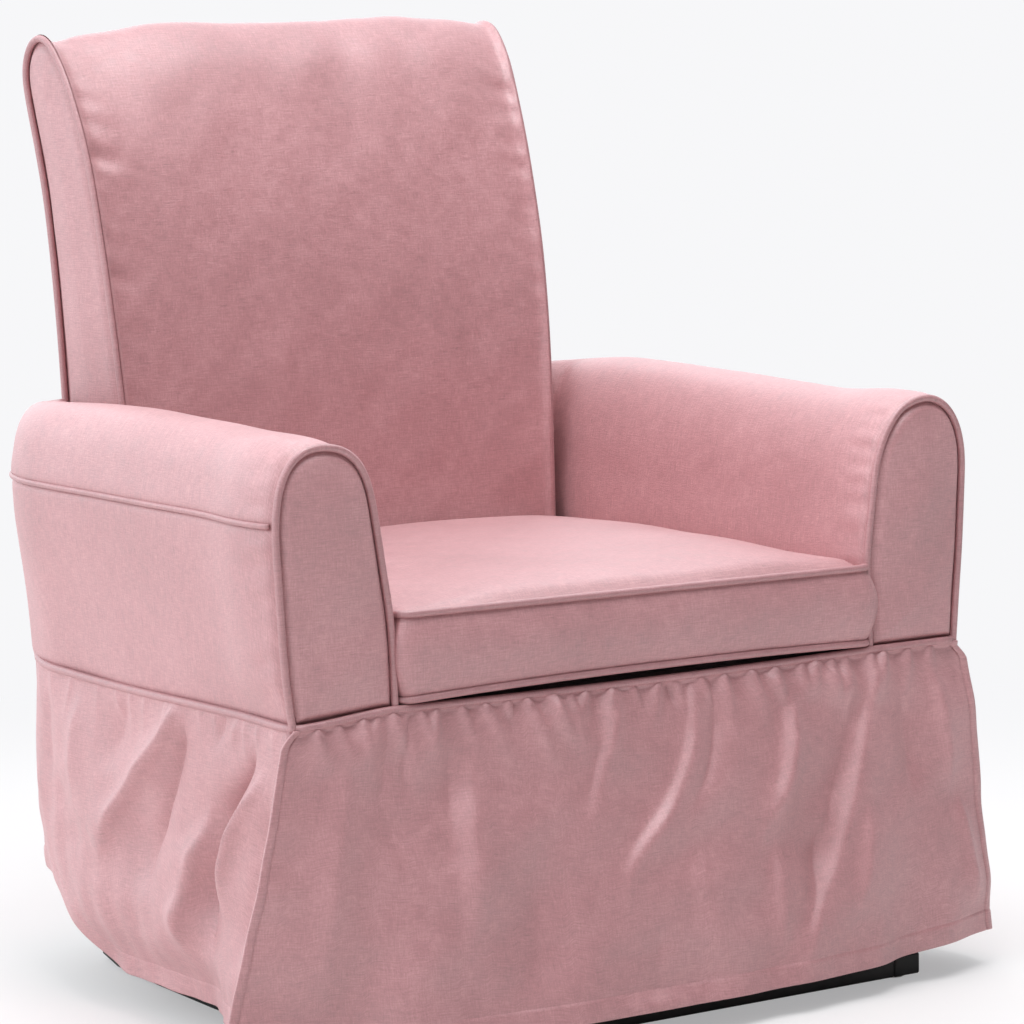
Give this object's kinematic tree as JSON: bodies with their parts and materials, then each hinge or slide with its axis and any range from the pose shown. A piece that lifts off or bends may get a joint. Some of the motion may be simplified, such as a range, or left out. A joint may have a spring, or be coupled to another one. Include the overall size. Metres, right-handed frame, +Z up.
{
  "type": "upholstered nursery glider chair",
  "caption": "Skirted, piped armchair with a rolled back and round arms that glides fore and aft on swing links over a low floor base.",
  "frame": {"origin": "on the floor under the middle of the chair's bounding box, with the chair at rest", "axes": "+Z up; the chair faces -Y; +X is the viewer's right when looking at the front"},
  "size_m": [0.9284, 0.8189, 0.9977],
  "materials": {
    "upholstery": "dusty rose woven plush, heathered, with a soft sheen",
    "deck_cloth": "dark plain cloth over a thin pad",
    "hardwood": "sawn, unfinished",
    "black_steel": "satin black powder coat",
    "zinc_steel": "bright zinc plate",
    "spring_steel": "dark drawn wire",
    "nylon": "natural nylon",
    "rubber": "matt black sleeve"
  },
  "bodies": {
    "base": {"base_front_rail": "black_steel", "base_rear_rail": "black_steel", "base_side_rail_left": "black_steel", "base_side_rail_right": "black_steel", "upright_front_left": "black_steel", "upright_front_right": "black_steel", "upright_rear_left": "black_steel", "upright_rear_right": "black_steel", "floor_glide_front_left": "nylon", "floor_glide_front_right": "nylon", "floor_glide_rear_left": "nylon", "floor_glide_rear_right": "nylon", "upper_pivot_bolt_front_left": "zinc_steel", "upper_pivot_bolt_front_right": "zinc_steel", "upper_pivot_bolt_rear_left": "zinc_steel", "upper_pivot_bolt_rear_right": "zinc_steel", "stop_bar_front": "rubber", "stop_bar_rear": "rubber"},
    "link_front_left": {"swing_link_front_left": "zinc_steel", "link_bush_upper_front_left": "nylon", "link_bush_lower_front_left": "nylon"},
    "link_front_right": {"swing_link_front_right": "zinc_steel", "link_bush_upper_front_right": "nylon", "link_bush_lower_front_right": "nylon"},
    "link_rear_left": {"swing_link_rear_left": "zinc_steel", "link_bush_upper_rear_left": "nylon", "link_bush_lower_rear_left": "nylon"},
    "link_rear_right": {"swing_link_rear_right": "zinc_steel", "link_bush_upper_rear_right": "nylon", "link_bush_lower_rear_right": "nylon"},
    "chair": {"lower_rail_left": "black_steel", "lower_rail_right": "black_steel", "lower_pivot_bolt_front_left": "zinc_steel", "lower_pivot_bolt_front_right": "zinc_steel", "lower_pivot_bolt_rear_left": "zinc_steel", "lower_pivot_bolt_rear_right": "zinc_steel", "hanger_bracket_front_left": "black_steel", "hanger_bracket_front_right": "black_steel", "hanger_bracket_rear_left": "black_steel", "hanger_bracket_rear_right": "black_steel", "seat_front_rail": "hardwood", "seat_rear_rail": "hardwood", "seat_side_rail_left": "hardwood", "seat_side_rail_right": "hardwood", "seat_spring_1": "spring_steel", "seat_spring_2": "spring_steel", "seat_spring_3": "spring_steel", "seat_deck": "deck_cloth", "arm_left": "upholstery", "arm_right": "upholstery", "arm_frame_left": "hardwood", "arm_frame_right": "hardwood", "back_cushion": "upholstery", "back_frame": "hardwood", "outside_back": "upholstery", "skirt_front": "upholstery", "skirt_rear": "upholstery", "skirt_left": "upholstery", "skirt_right": "upholstery"},
    "cushion": {"seat_cushion": "upholstery"}
  },
  "joints": [
    {"name": "glide", "type": "hinge", "parent": "base", "child": "link_front_left", "pos_m": [-0.274, -0.192, 0.235], "axis": [1, 0, 0], "range_deg": [-25, 25]},
    {"name": "swing_front_right", "type": "hinge", "parent": "base", "child": "link_front_right", "pos_m": [0.274, -0.192, 0.235], "axis": [1, 0, 0], "range_deg": [-25, 25]},
    {"name": "swing_rear_left", "type": "hinge", "parent": "base", "child": "link_rear_left", "pos_m": [-0.274, 0.168, 0.235], "axis": [1, 0, 0], "range_deg": [-25, 25]},
    {"name": "swing_rear_right", "type": "hinge", "parent": "base", "child": "link_rear_right", "pos_m": [0.274, 0.168, 0.235], "axis": [1, 0, 0], "range_deg": [-25, 25]},
    {"name": "chair_level", "type": "hinge", "parent": "link_front_left", "child": "chair", "pos_m": [-0.274, -0.192, 0.085], "axis": [1, 0, 0], "range_deg": [-25, 25]},
    {"name": "cushion_lift", "type": "slide", "parent": "chair", "child": "cushion", "axis": [0, 0, 1], "range_m": [0, 0.12]}
  ],
  "couplings": [
    {"joint": "swing_front_right", "follows": "glide", "ratio": 1},
    {"joint": "swing_rear_left", "follows": "glide", "ratio": 1},
    {"joint": "swing_rear_right", "follows": "glide", "ratio": 1},
    {"joint": "chair_level", "follows": "glide", "ratio": -1}
  ]
}
